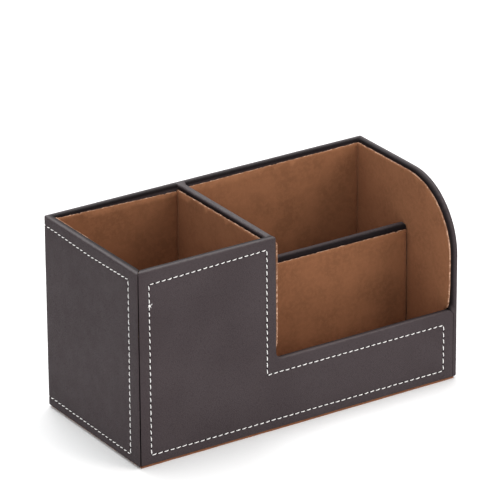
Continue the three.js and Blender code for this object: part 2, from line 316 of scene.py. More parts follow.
def round_folds(cover, outward, radius_of):
    """Rounds each fold by the radius that radius_of gives for it."""
    bm = cover.bm
    bmesh.ops.recalc_face_normals(bm, faces=bm.faces)
    largest = max(bm.faces, key=lambda f: f.calc_area())
    turn_outward(bm, largest.normal.dot(outward))
    weight = bm.edges.layers.float.new("bevel_weight_edge")
    widest = max(RIM_ROUND, CORNER_ROUND)
    for edge in bm.edges:
        if len(edge.link_faces) == 2 and edge.calc_face_angle(0) > FOLD_ANGLE:
            edge[weight] = radius_of(*(v.co for v in edge.verts)) / widest
    piece = finish_mesh("cover", bm, [])
    bevel = piece.modifiers.new("folds", "BEVEL")
    bevel.width = widest * MM
    bevel.segments = FOLD_SEGMENTS
    bevel.limit_method = "WEIGHT"
    bevel.use_clamp_overlap = False
    bevel.miter_outer = "MITER_SHARP"
    apply_modifiers(piece)
    rounded = bmesh.new()
    rounded.from_mesh(piece.data)
    bpy.data.objects.remove(piece)
    bmesh.ops.scale(rounded, vec=(1 / MM, 1 / MM, 1 / MM), verts=rounded.verts)
    bmesh.ops.remove_doubles(rounded, verts=rounded.verts, dist=0.01)
    bmesh.ops.dissolve_degenerate(rounded, edges=rounded.edges, dist=0.005)
    rounded.normal_update()
    return rounded


def cut_strips(bm, large):
    """Cuts the long narrow faces into short ones, so that they can follow an uneven surface."""
    low = [min(v.co[i] for v in bm.verts) for i in range(3)]
    high = [max(v.co[i] for v in bm.verts) for i in range(3)]
    for axis in range(3):
        normal = Vector([1.0 if i == axis else 0.0 for i in range(3)])
        steps = int((high[axis] - low[axis]) / STRIP_SPACING)
        for step in range(1, steps + 1):
            small = [f for f in bm.faces if f not in large]
            at = low[axis] + step * STRIP_SPACING - 0.37
            near = [f for f in small
                    if min(v.co[axis] for v in f.verts) < at - 0.2
                    and max(v.co[axis] for v in f.verts) > at + 0.2]
            if not near:
                continue
            edges = {e for f in near for e in f.edges}
            verts = {v for f in near for v in f.verts}
            bmesh.ops.bisect_plane(bm, geom=list(verts) + list(edges) + near, dist=0.05,
                                   plane_co=normal * at, plane_no=normal)


def uneven(bm, size, seed):
    """Moves each vertex a little along its normal, in smooth bumps."""
    bm.normal_update()
    for vert in bm.verts:
        swell = wave(vert.co, size, seed) + 0.4 * wave(vert.co, size / 4, seed + 1)
        vert.co += vert.normal * (UNEVENNESS * swell)


def between(value, low, high):
    """How far a value lies between two others, from 0 to 1."""
    return min(1.0, max(0.0, (value - low) / (high - low)))


def mark_wear_and_highlight(bm):
    """Stores on each vertex how much it lies on an outer fold, for paler rubbed wear and a painted
    highlight, and how much it faces up.
    """
    bm.normal_update()
    wear_and_highlight = bm.verts.layers.float.new("wear_and_highlight")
    polish = bm.verts.layers.float.new("polish")
    for vert in bm.verts:
        vert[wear_and_highlight] = between(max(abs(c) for c in vert.normal), 1.0, 0.72)
        vert[polish] = between(vert.normal.z, 0.55, 0.98)


def mark_painted_shade(bm):
    """Stores how much painted shade each vertex gets in a seam groove, or down the inner side of a
    rim, from 0 to 1.
    """
    painted_shade = bm.verts.layers.float.new("painted_shade")
    for vert in bm.verts:
        x, y, z = vert.co
        inset = min(x - LEFT, RIGHT - x, y - FRONT, BACK - y)
        # The front face's strip beside the right wall takes the same painted shade as the rim above
        # it.
        if x > RIGHT - WALL - END_GAP and z > LOW_TOP + 1.0:
            inset = RIGHT - x
        if z > UNDER + TURN_IN:
            vert[painted_shade] = INNER_SHADE * between(inset, 0.42 * WALL, 0.8 * WALL)
        # Painted shade in the grooves of the two seams.
        if min(abs(x - LEFT_SEAM), abs(x - RIGHT_SEAM)) < 0.6 and y < FRONT + TUCK + 0.2:
            vert[painted_shade] = between(y - FRONT, 0.04, 0.3) * between(z, TOP - 0.6, TOP - 1.6)


def keep_inside(piece):
    """Brings back any point that stands out of the box's flat faces by more than its unevenness."""
    low = [(c - 1.5 * UNEVENNESS) * MM for c in (LEFT, FRONT, UNDER)]
    high = [(c + 1.5 * UNEVENNESS) * MM for c in (RIGHT, BACK, TOP)]
    for vert in piece.data.vertices:
        vert.co = [min(max(c, least), most) for c, least, most in zip(vert.co, low, high)]


def leather_piece(name, cover, outward, radius_of, pressed, material, seed):
    """Rounds a cover's folds, fills its faces, presses the stitches in and gives it thickness."""
    bm = round_folds(cover, outward, radius_of)
    large = {f for f in bm.faces if f.calc_area() > LARGE_FACE}
    cut_strips(bm, large)
    mark_wear_and_highlight(bm)
    mark_painted_shade(bm)
    for face in [f for f in bm.faces if f.calc_area() > LARGE_FACE]:
        refill(bm, face, SKIN_SPACING, pressed)
    uneven(bm, COVER_BUMPS, seed)
    piece = finish_mesh(name, bm, [material])
    thicken(piece, LEATHER)
    keep_inside(piece)
    return piece


def notch_arc(inset):
    """The rounded inner corner of the front wall's outline, moved into the wall by an inset."""
    return arc(NOTCH + NOTCH_RADIUS, LOW_TOP + NOTCH_RADIUS, NOTCH_RADIUS + inset,
               math.pi, 1.5 * math.pi, 7)


def tuck_left(cover, edge, inner, behind):
    """Tucks a cover's edge into the left seam, and on over the rim to the wall's inner side."""
    cover.strip(
        [(edge, FRONT, UNDER), (edge, FRONT, TOP), (inner, FRONT + WALL, TOP)],
        [(LEFT_SEAM, TUCKED, UNDER + TUCK), (LEFT_SEAM + TUCK / 2, TUCKED, TOP - TUCK),
         (inner, behind, TOP - TUCK)])


def tuck_right(cover, edge, inner, depth):
    """Tucks a cover's edge into the right seam and its slanted end."""
    slant_foot = LOW_TOP - SEAM_SLANT
    cover.strip(
        [(edge, FRONT, UNDER), (edge, FRONT, slant_foot), (inner, FRONT, LOW_TOP)],
        [(RIGHT_SEAM, TUCKED, UNDER + TUCK), (RIGHT_SEAM, TUCKED, slant_foot),
         (inner, TUCKED, LOW_TOP - depth)])


def front_cover():
    """The cover of the front wall, folded over its rim and under its bottom."""
    cover = Cover()
    inner_left, right_end = LEFT + WALL + STRIP_GAP, RIGHT - WALL - END_GAP
    rim = [(FRONT_LEFT_EDGE, TOP), (NOTCH, TOP), *notch_arc(0), (right_end, LOW_TOP)]
    behind = [(inner_left, TOP), *rim[1:]]
    turned = [(inner_left, TOP - TURN_IN), (NOTCH - TURN_IN, TOP - TURN_IN),
              *notch_arc(TURN_IN), (right_end, LOW_TOP - TURN_IN)]

    def at(points, y):
        return [(x, y, z) for x, z in points]

    cover.face(*at([*rim, (FRONT_RIGHT_EDGE, LOW_TOP - SEAM_SLANT), (FRONT_RIGHT_EDGE, UNDER),
                    (FRONT_LEFT_EDGE, UNDER)], FRONT))
    cover.strip(at(rim, FRONT), at(behind, FRONT + WALL))
    cover.strip(at(behind, FRONT + WALL), at(turned, FRONT + WALL))
    cover.face((FRONT_LEFT_EDGE, FRONT, UNDER), (FRONT_RIGHT_EDGE, FRONT, UNDER),
               (RIGHT - TURN_IN, FRONT + TURN_IN, UNDER), (LEFT + TURN_IN, FRONT + TURN_IN, UNDER))
    tuck_left(cover, FRONT_LEFT_EDGE, inner_left, FRONT + WALL - TUCK)
    tuck_right(cover, FRONT_RIGHT_EDGE, right_end, TUCK)
    return cover


def wrap_cover():
    """The cover that wraps round the left, back and right walls."""
    cover = Cover()
    inner_left, inner_right, inner_back = LEFT + WALL, RIGHT - WALL, BACK - WALL
    quarter = (math.pi / 2, math.pi)
    steps = 30
    outer_arc = arc(ARC_CENTRE_Y, ARC_CENTRE_Z, WALL_RADIUS, *quarter, steps)
    turned_arc = arc(ARC_CENTRE_Y, ARC_CENTRE_Z, WALL_RADIUS - TURN_IN, *quarter, steps)

    def side(points, x):
        return [(x, y, z) for y, z in points]

    # outer faces
    cover.face((LEFT, FRONT, UNDER), (LEFT, BACK, UNDER), (LEFT, BACK, TOP), (LEFT, FRONT, TOP))
    cover.face((LEFT, BACK, UNDER), (RIGHT, BACK, UNDER), (RIGHT, BACK, TOP), (LEFT, BACK, TOP))
    cover.face(*side([(BACK, UNDER), (BACK, TOP), *outer_arc, (FRONT, UNDER)], RIGHT))
    cover.face((LEFT, FRONT, UNDER), (LEFT, FRONT, TOP), (WRAP_LEFT_EDGE, FRONT, TOP),
               (WRAP_LEFT_EDGE, FRONT, UNDER))
    cover.face((RIGHT, FRONT, UNDER), (WRAP_RIGHT_EDGE, FRONT, UNDER),
               (WRAP_RIGHT_EDGE, FRONT, LOW_TOP - SEAM_SLANT), (inner_right, FRONT, LOW_TOP),
               (inner_right, FRONT, ARC_CENTRE_Z), (RIGHT, FRONT, ARC_CENTRE_Z))

    # rims
    cover.face((LEFT, FRONT, TOP), (LEFT, BACK, TOP), (inner_left, inner_back, TOP),
               (inner_left, FRONT + WALL, TOP), (WRAP_LEFT_EDGE, FRONT, TOP))
    cover.face((LEFT, BACK, TOP), (RIGHT, BACK, TOP), (inner_right, inner_back, TOP),
               (inner_left, inner_back, TOP))
    cover.face((RIGHT, BACK, TOP), (RIGHT, ARC_CENTRE_Y, TOP), (inner_right, ARC_CENTRE_Y, TOP),
               (inner_right, inner_back, TOP))
    cover.strip(side(outer_arc, RIGHT), side(outer_arc, inner_right))

    # strips turned in behind the rims
    cover.face((inner_left, FRONT + WALL, TOP), (inner_left, inner_back, TOP),
               (inner_left, inner_back, TOP - TURN_IN), (inner_left, FRONT + WALL, TOP - TURN_IN))
    cover.face((inner_left, inner_back, TOP), (inner_right, inner_back, TOP),
               (inner_right, inner_back, TOP - TURN_IN), (inner_left, inner_back, TOP - TURN_IN))
    cover.strip(side([(inner_back, TOP), *outer_arc, (FRONT, LOW_TOP)], inner_right),
                side([(inner_back, TOP - TURN_IN), *turned_arc, (FRONT + TURN_IN, LOW_TOP)],
                     inner_right))

    # strips turned under the bottom
    under_left, under_right, under_back = LEFT + TURN_IN, RIGHT - TURN_IN, BACK - TURN_IN
    cover.face((LEFT, FRONT, UNDER), (LEFT, BACK, UNDER), (under_left, under_back, UNDER),
               (under_left, FRONT + TURN_IN, UNDER), (WRAP_LEFT_EDGE, FRONT, UNDER))
    cover.face((LEFT, BACK, UNDER), (RIGHT, BACK, UNDER), (under_right, under_back, UNDER),
               (under_left, under_back, UNDER))
    cover.face((RIGHT, BACK, UNDER), (RIGHT, FRONT, UNDER), (WRAP_RIGHT_EDGE, FRONT, UNDER),
               (under_right, FRONT + TURN_IN, UNDER), (under_right, under_back, UNDER))

    # edges tucked into the seams
    tuck_left(cover, WRAP_LEFT_EDGE, inner_left, FRONT + WALL + 0.05)
    tuck_right(cover, WRAP_RIGHT_EDGE, inner_right, TUCK / 2)
    return cover


def same(first, second):
    """Whether two coordinates are the same, but for rounding."""
    return abs(first - second) < 0.01


def front_fold_radius(a, b):
    """The radius of a fold of the front cover, from its two ends."""
    if same(max(a.z, b.z), UNDER):
        return BOTTOM_ROUND
    at_seam = any(same(p.x, edge) for p in (a, b) for edge in (FRONT_LEFT_EDGE, FRONT_RIGHT_EDGE))
    along_rim = same(a.z, TOP) and same(b.z, TOP) and same(a.y, b.y)
    if at_seam and not along_rim:
        return SEAM_ROUND
    return RIM_ROUND


def wrap_fold_radius(a, b):
    """The radius of a fold of the wrap, from its two ends."""
    if same(max(a.z, b.z), UNDER):
        return BOTTOM_ROUND
    if same(a.x, b.x) and same(a.y, b.y):
        if same(a.y, BACK):
            return CORNER_ROUND
        if same(a.x, LEFT):
            return FRONT_CORNER_ROUND
    at_seam = any(same(p.y, FRONT) and same(p.x, edge)
                  for p in (a, b) for edge in (WRAP_LEFT_EDGE, WRAP_RIGHT_EDGE))
    along_top = same(min(a.z, b.z), TOP) and same(max(a.y, b.y), FRONT)
    if at_seam and not along_top:
        return SEAM_ROUND
    return RIM_ROUND


# ---- stitches ----

def walk(run):
    """Points about a pitch apart along a run, both of its ends included."""
    lengths = [(b - a).length for a, b in zip(run, run[1:])]
    total = sum(lengths)
    count = round(total / PITCH)
    stations, index, passed = [], 0, 0.0
    for k in range(count + 1):
        target = min(total * k / count, total - 1e-9)
        while passed + lengths[index] < target:
            passed += lengths[index]
            index += 1
        share = (target - passed) / lengths[index]
        stations.append(run[index].lerp(run[index + 1], share))
    return stations


def front_stitch_runs():
    """The straight runs of the seam on the front face, from each corner to the next."""
    low, high = box_mm("front_stitching")
    left, right = low.x + THREAD_HALF, high.x - THREAD_HALF
    bottom, top = low.z + THREAD_HALF, high.z - THREAD_HALF
    notch, ledge = NOTCH - NOTCH_LINE_INSET, LOW_TOP - LEDGE_LINE_DROP
    corners = [Vector(p) for p in ((left, bottom), (right, bottom), (right, ledge), (notch, ledge),
                                   (notch, top), (left, top - TOP_LINE_FALL))]
    return [[a, b] for a, b in zip(corners, corners[1:] + corners[:1])]


def front_point(p):
    """A point on the front face, and the surface's normal there."""
    return Vector((p.x, FRONT, p.y)), Vector((0, -1, 0))


WRAP_SIDE = BACK - FRONT - CORNER_ROUND
WRAP_TURN = CORNER_ROUND * math.pi / 2
WRAP_BACK = RIGHT - LEFT - 2 * CORNER_ROUND
WRAP_LENGTH = 2 * WRAP_SIDE + 2 * WRAP_TURN + WRAP_BACK


def on_corner(x, angle, z):
    """A point on the rounded back corner whose middle is at x, and the surface's normal there."""
    normal = Vector((math.cos(angle), math.sin(angle), 0))
    return Vector((x, BACK - CORNER_ROUND, z)) + normal * CORNER_ROUND, normal


def wrap_point(p):
    """A point on the unrolled wrap, p.x from the front left corner round to the front right one."""
    along, z = p.x, p.y
    if along <= WRAP_SIDE:
        return Vector((LEFT, FRONT + along, z)), Vector((-1, 0, 0))
    along -= WRAP_SIDE
    if along <= WRAP_TURN:
        return on_corner(LEFT + CORNER_ROUND, math.pi - along / CORNER_ROUND, z)
    along -= WRAP_TURN
    if along <= WRAP_BACK:
        return Vector((LEFT + CORNER_ROUND + along, BACK, z)), Vector((0, 1, 0))
    along -= WRAP_BACK
    if along <= WRAP_TURN:
        return on_corner(RIGHT - CORNER_ROUND, math.pi / 2 - along / CORNER_ROUND, z)
    along -= WRAP_TURN
    return Vector((RIGHT, BACK - CORNER_ROUND - along, z)), Vector((1, 0, 0))


def wrap_stitch_runs():
    """The runs of the seam on the unrolled wrap: up, over and round to the far side, and back."""
    low, high = box_mm("wrap_stitching")
    bottom, top = low.z + THREAD_HALF, high.z - THREAD_HALF
    far = WRAP_LENGTH - SIDE_LINE_INSET
    radius = WALL_RADIUS - SIDE_LINE_INSET
    bend = [Vector(p) for p in arc(far - radius, top - radius, radius, math.pi / 2, 0, 24)]
    near_low = Vector((SIDE_LINE_INSET + 0.5, bottom))
    near_high = Vector((SIDE_LINE_INSET, top))
    side_middle = Vector((WRAP_SIDE * 0.5, top - 0.5))
    mid_turn = WRAP_SIDE + WRAP_TURN / 2
    back_start = Vector((mid_turn, top + 1.0))
    back_end = Vector((WRAP_SIDE + 1.5 * WRAP_TURN + WRAP_BACK, top))
    far_low = Vector((far, bottom))
    back_low = Vector((mid_turn, bottom + 0.8))
    return [[near_low, near_high], [near_high, side_middle, back_start, back_end, *bend, far_low],
            [far_low, back_low, near_low]]


def stitches_along(runs, to_surface, slant_sign, seed):
    """Each stitch as a row of points on the surface, each with the surface's normal there."""
    rng = random.Random(seed)
    found = []
    for run in runs:
        stations = walk(run)
        for a, b in zip(stations, stations[1:]):
            direction = (b - a).normalized()
            across = Vector((-direction.y, direction.x))
            gap = (PITCH - STITCH) / 2 + rng.uniform(-0.1, 0.1)
            slant = slant_sign * (0.15 + rng.uniform(-0.1, 0.1))
            drift = rng.uniform(-0.08, 0.08)
            start = a + direction * gap + across * (drift - slant)
            end = b - direction * gap + across * (drift + slant)
            found.append([to_surface(start.lerp(end, i / (STITCH_RINGS - 1)))
                          for i in range(STITCH_RINGS)])
    return found


def pressed_points(stitches):
    """Where the stitches pull the leather in: a row of points along each of them."""
    found = []
    for path in stitches:
        (start, normal), (end, end_normal) = path[0], path[-1]
        if normal.dot(end_normal) < 0.999:
            continue
        along = end - start
        across = normal.cross(along).normalized()
        for share, depth in ((-0.07, HOLE_DEPTH), (0.3, DENT_DEPTH), (0.7, DENT_DEPTH),
                             (1.07, HOLE_DEPTH)):
            middle = start + along * share
            found.append((middle, depth))
            for offset, part in ((0.5, 0.4), (-0.5, 0.4), (1.4, -0.1), (-1.4, -0.1)):
                found.append((middle + across * offset, depth * part))
    return found


class Threads:
    """A mesh of many short lengths of thread."""

    SIDES = 6

    def __init__(self):
        self.verts = []
        self.faces = []

    def tube(self, rings):
        """A closed tube through rings, each given as its middle, radius and two directions."""
        base = len(self.verts)
        for middle, radius, across, upward in rings:
            for side in range(self.SIDES):
                angle = 2 * math.pi * side / self.SIDES
                self.verts.append(middle + across * (radius * math.cos(angle))
                                  + upward * (radius * math.sin(angle)))
        for ring in range(len(rings) - 1):
            for side in range(self.SIDES):
                here = base + ring * self.SIDES
                after = (side + 1) % self.SIDES
                self.faces.append((here + side, here + after, here + self.SIDES + after,
                                   here + self.SIDES + side))
        last = base + (len(rings) - 1) * self.SIDES
        self.faces.append(tuple(base + s for s in reversed(range(self.SIDES))))
        self.faces.append(tuple(last + s for s in range(self.SIDES)))

    def stitch(self, path, rng, thickness=1.0):
        """Two plies twisted round each other, sinking in at both ends."""
        along = path[-1][0] - path[0][0]
        twist = rng.uniform(0, math.pi)
        swell = rng.uniform(0.92, 1.12) * thickness
        for ply in (0, 1):
            rings = []
            for number, (point, upward) in enumerate(path):
                share = number / (len(path) - 1)
                across = upward.cross(along).normalized()
                arch = math.sin(math.pi * share) ** 0.6
                phase = twist + ply * math.pi + share * 2.6 * math.pi
                spread = PLY_RADIUS * 0.75 * arch * thickness
                middle = (point + upward * (0.36 * arch - 0.3 + spread * 0.7 * math.sin(phase))
                          + across * (spread * math.cos(phase)))
                rings.append((middle, PLY_RADIUS * swell * (0.55 + 0.45 * arch), across, upward))
            self.tube(rings)

    def tail(self, root, tip, upward):
        """A cut end of thread that stands off the leather."""
        along = tip - root
        across = upward.cross(along).normalized()
        rings = []
        for i in range(6):
            middle = (root + along * (i / 5) + upward * (0.25 + 0.5 * math.sin(math.pi * i / 7))
                      + across * (0.15 * math.sin(math.pi * i / 2.5)))
            rings.append((middle, PLY_RADIUS * (1.1 - 0.11 * i), across, upward))
        self.tube(rings)

    def knot(self, middle, upward, rng):
        """The knot at the seam's end: thick short lengths across each other, and three cut ends."""
        sideways = Vector((1, 0, 0))
        rise = upward.cross(sideways)
        for number, turn in enumerate((0.5, 1.5, 2.6)):
            reach = (sideways * math.cos(turn) + rise * math.sin(turn)) * 0.75
            stacked = middle - reach + upward * (0.14 * number)
            path = [(stacked + reach * (2 * i / (STITCH_RINGS - 1)), upward)
                    for i in range(STITCH_RINGS)]
            self.stitch(path, rng, 1.1)
        for across, up in ((1.5, 1.2), (-1.3, -0.5), (0.9, -1.1)):
            tip = middle + sideways * across + Vector((0, 0, up))
            self.tail(middle, tip, upward)

    def piece(self, name, material):
        bm = bmesh.new()
        corners = [bm.verts.new(v) for v in self.verts]
        for face in self.faces:
            bm.faces.new([corners[i] for i in face])
        bmesh.ops.recalc_face_normals(bm, faces=bm.faces)
        return finish_mesh(name, bm, [material])


def stitch_mesh(name, stitches, material, seed, knots=()):
    """Every stitch of a seam, and the knots of its thread."""
    rng = random.Random(seed)
    threads = Threads()
    for path in stitches:
        threads.stitch(path, rng)
    for middle, normal in knots:
        threads.knot(middle, normal, rng)
    return threads.piece(name, material)


# ---- caps on the dividers ----

CAP_HALF = WALL / 2
CAP_STEPS = 12
# The exponent of the cap's rounded top, where 2 is a half circle and more is squarer.
CAP_SQUARENESS = 2.7


def cap_section():
    """A cap's section as (across, up) from its middle top: up one side, over, down the other."""
    power = 2 / CAP_SQUARENESS
    flank = [(CAP_HALF, -CAP_HALF - 1.2), (CAP_HALF, -TURN_IN * 0.6), (CAP_HALF, -TURN_IN)]
    points = [(-across, up) for across, up in reversed(flank)]
    for i in range(CAP_STEPS + 1):
        angle = math.pi * (1 - i / CAP_STEPS)
        c, s = math.cos(angle), math.sin(angle)
        across = math.copysign(abs(c) ** power, c) * CAP_HALF
        up = (abs(s) ** power - 1) * CAP_HALF
        points.append((across, up))
    return points + flank


def cap_mesh(name, stations, material, shade_start, seed):
    """A skin over rings of points, one for each station along a cap, with painted shade down its
    flanks.
    """
    bm = bmesh.new()
    painted_shade = bm.verts.layers.float.new("painted_shade")
    rings = [[bm.verts.new(p) for p in ring] for ring in stations]
    for ring in rings:
        crest = max(vert.co.z for vert in ring)
        for vert in ring:
            vert[painted_shade] = INNER_SHADE * between(crest - vert.co.z, shade_start, shade_start + 1.2)
    for first, second in zip(rings, rings[1:]):
        for i in range(len(first) - 1):
            bm.faces.new((first[i], first[i + 1], second[i + 1], second[i]))
    bmesh.ops.recalc_face_normals(bm, faces=bm.faces)
    top = max(bm.faces, key=lambda f: f.calc_center_median().z)
    turn_outward(bm, top.normal.z)
    uneven(bm, CAP_BUMPS, seed)
    mark_wear_and_highlight(bm)
    piece = finish_mesh(name, bm, [material])
    thicken(piece, LEATHER)
    return piece


def cross_divider_cap(material):
    """The cap on the cross divider. Its back end flares out over the back wall's rim."""
    front_overlap, back_inset = 1.4, 1.3
    back_widening, front_widening = 1.1, 0.35
    rise, back_dip, front_dip = 0.35, 1.0, 0.9
    least_drop, flat_share = 0.5, 0.42
    middle = (divider_low.x + divider_high.x) / 2
    section = cap_section()
    stations = []
    start, end = FRONT + WALL - front_overlap, BACK - back_inset
    steps = 44
    rim_start = BACK - WALL - 1.0
    for i in range(steps + 1):
        y = start + (end - start) * i / steps
        flare = max(0.0, (y - rim_start) / (end - rim_start))
        front = max(0.0, (FRONT + WALL + 0.6 - y) / 2.0)
        over = max(flare, front)
        wide = CAP_HALF * (1 + back_widening * flare ** 1.5 + front_widening * front)
        drop = TURN_IN * (1 - min(1, over * 4)) + least_drop * min(1, over * 4)
        lift = rise * min(1.0, over * 3) - back_dip * max(0.0, flare - 0.6) - front_dip * front
        flat = min(1.0, over * 2.5)
        ring = []
        for across, up in section:
            height = up * (1 - flat) + max(up, -2.0) * flat_share * flat
            ring.append((middle + across / CAP_HALF * wide, y, TOP + lift + max(height, -drop)))
        stations.append(ring)
    return cap_mesh("cross_divider_leather", stations, material, shade_start=0.4, seed=5)


def tray_divider_cap(material):
    """The cap on the low divider, folded down over the divider's right end."""
    middle = (tray_rim_low.y + tray_rim_high.y) / 2
    top = tray_rim_high.z
    start, end = tray_rim_low.x, tray_rim_high.x - END_GAP
    round_end = 1.6
    end_drops = (4, 10, 20, 35, 52, 64)
    section = cap_section()
    stations = []
    steps = 50
    for i in range(steps + 1):
        x = start + (end - round_end - start) * i / steps
        stations.append([(x, middle + across, top + up) for across, up in section])
    for i in range(1, 7):
        angle = math.pi / 2 * i / 6
        x = end - round_end + round_end * math.sin(angle)
        down = round_end * (1 - math.cos(angle))
        stations.append([(x, middle + across, top + up - down * (1 if up > -CAP_HALF else 0))
                         for across, up in section])
    for drop in end_drops:
        stations.append([(end, middle + across * 0.98, top - drop + up * 0.1)
                         for across, up in section])
    # Painted shade starts above the crest here, so the whole top of this cap is shaded too.
    return cap_mesh("tray_divider_leather", stations, material, shade_start=-0.5, seed=6)


# ---- linings ----

LINING_FACING = {
    "pencil_bay_left_lining": (0, 1),
    "pencil_bay_right_lining": (0, -1),
    "pencil_bay_front_lining": (1, 1),
    "pencil_bay_back_lining": (1, -1),
    "pencil_bay_floor_lining": (2, 1),
    "cross_divider_right_lining": (0, 1),
    "right_wall_lining": (0, -1),
    "pen_bay_back_lining": (1, -1),
    "pen_bay_front_lining": (1, 1),
    "pen_bay_floor_lining": (2, 1),
    "tray_back_lining": (1, -1),
    "tray_front_lining": (1, 1),
    "tray_floor_lining": (2, 1),
}

# How far a top edge rises above or falls below its CAD height, at its low and its high end.
TOP_SLANT = {
    "pencil_bay_back_lining": (1.0, -1.0),
    "pencil_bay_left_lining": (-0.45, 0.45),
    "pencil_bay_right_lining": (0.2, -0.2),
    "pen_bay_back_lining": (-0.2, 0.55),
    "tray_back_lining": (0.1, -0.1),
}

# The tray's back lining stops short of the right wall's lining.
TRAY_BACK_GAP = 0.75
EDGE_STEP = 1.1
LINING_SPACING = 3.5
FRAY = 0.24


def right_wall_outline(low, high):
    """The right wall's lining follows its rounded corner and ends over the low front wall."""
    front = low.y
    radius_y = ARC_CENTRE_Y - front
    radius_z = high.z - ARC_CENTRE_Z
    inner_front = FRONT + WALL + END_GAP
    foot = LOW_TOP + 0.35
    curve = [(ARC_CENTRE_Y + radius_y * math.cos(t), ARC_CENTRE_Z + radius_z * math.sin(t))
             for t in (math.pi / 2 * (1 + i / 24) for i in range(25))]
    end = [(front + 0.1, foot + 14), (front + 0.5, foot + 7), (front + 1.1, foot + 3),
           (front + 1.9, foot + 0.9), (front + 3.0, foot)]
    return [(inner_front, low.z), (high.y, low.z), (high.y, high.z), *curve, *end,
            (inner_front, foot)]


def cross_divider_outline(low, high):
    """The cross divider's right lining runs forward over the end of the tall front wall."""
    inner_front = FRONT + WALL + END_GAP
    foot = LOW_TOP + NOTCH_RADIUS + 0.6
    return [(inner_front, low.z), (high.y, low.z), (high.y, high.z), (low.y + 0.6, high.z - 1.4),
            (low.y + 0.1, high.z - 2.0), (low.y, foot + 12), (low.y + 0.6, foot + 4),
            (low.y + 2.0, foot), (inner_front, foot)]


def divide(outline, step):
    """The same outline with points at most a step apart."""
    fine = []
    for a, b in zip(outline, outline[1:] + outline[:1]):
        pieces = max(1, math.ceil(math.dist(a, b) / step))
        fine += [(a[0] + (b[0] - a[0]) * i / pieces, a[1] + (b[1] - a[1]) * i / pieces)
                 for i in range(pieces)]
    return fine


def lining_piece(node, materials, seed):
    """A flocked panel with an uneven face and a raw, slightly ragged edge."""
    low, high = box_mm(node)
    axis, sign = LINING_FACING[node]
    first, second = [i for i in range(3) if i != axis]
    right_gap = TRAY_BACK_GAP if node == "tray_back_lining" else 0.0
    if node == "right_wall_lining":
        outline = right_wall_outline(low, high)
    elif node == "cross_divider_right_lining":
        outline = cross_divider_outline(low, high)
    else:
        rise_low, rise_high = TOP_SLANT.get(node, (0, 0))
        outline = [(low[first], low[second]), (high[first] - right_gap, low[second]),
                   (high[first] - right_gap, high[second] + rise_high),
                   (low[first], high[second] + rise_low)]
    outline = divide(outline, EDGE_STEP)
    rng = random.Random(seed)
    surface = high[axis] if sign > 0 else low[axis]
    thickness = high[axis] - low[axis]
    top = max(b for a, b in outline)
    ragged = []
    for a, b in outline:
        fray = 0.0
        if axis != 2 and b > low[second] + 5:
            fray = FRAY * wave((a, b, 0), 2.5, seed) + rng.uniform(-0.09, 0.09)
            if rng.random() < 0.04:
                fray -= rng.uniform(0.2, 0.5)
        ragged.append((a, b + (fray if top - b < 45 else 0.5 * fray)))
    points, triangles, _ = triangulate(ragged, grid_inside(ragged, LINING_SPACING, 1.2))
    bm = bmesh.new()
    verts = []
    for point in points:
        position = [0.0, 0.0, 0.0]
        position[first], position[second] = point.x, point.y
        swell = (0.16 * wave((point.x, point.y, 0), 28, seed)
                 + 0.05 * wave((point.x, point.y, 3), 6, seed))
        position[axis] = surface + sign * (swell - 0.1)
        verts.append(bm.verts.new(position))
    for triangle in triangles:
        bm.faces.new([verts[i] for i in triangle])
    bm.normal_update()
    turn_outward(bm, sum(f.normal[axis] for f in bm.faces) * sign)
    piece = finish_mesh(node, bm, materials)
    thicken(piece, thickness - 0.15, edge_material=1)
    return piece


def base_sheet(materials):
    """The flocked sheet glued under the box, cut by hand."""
    low, high = box_mm("base_cover")
    outline = divide([(low.x, low.y), (high.x, low.y), (high.x, high.y), (low.x, high.y)], 2.0)
    cut = [(x + 0.2 * wave((x, y, 0), 9, 40), y + 0.2 * wave((x, y, 5), 9, 41)) for x, y in outline]
    points, triangles, _ = triangulate(cut, grid_inside(cut, 8, 3))
    bm = bmesh.new()
    verts = [bm.verts.new((p.x, p.y, low.z)) for p in points]
    for triangle in triangles:
        bm.faces.new([verts[i] for i in reversed(triangle)])
    piece = finish_mesh("base_cover", bm, materials)
    thicken(piece, high.z - low.z, edge_material=1)
    return piece


# ---- materials ----

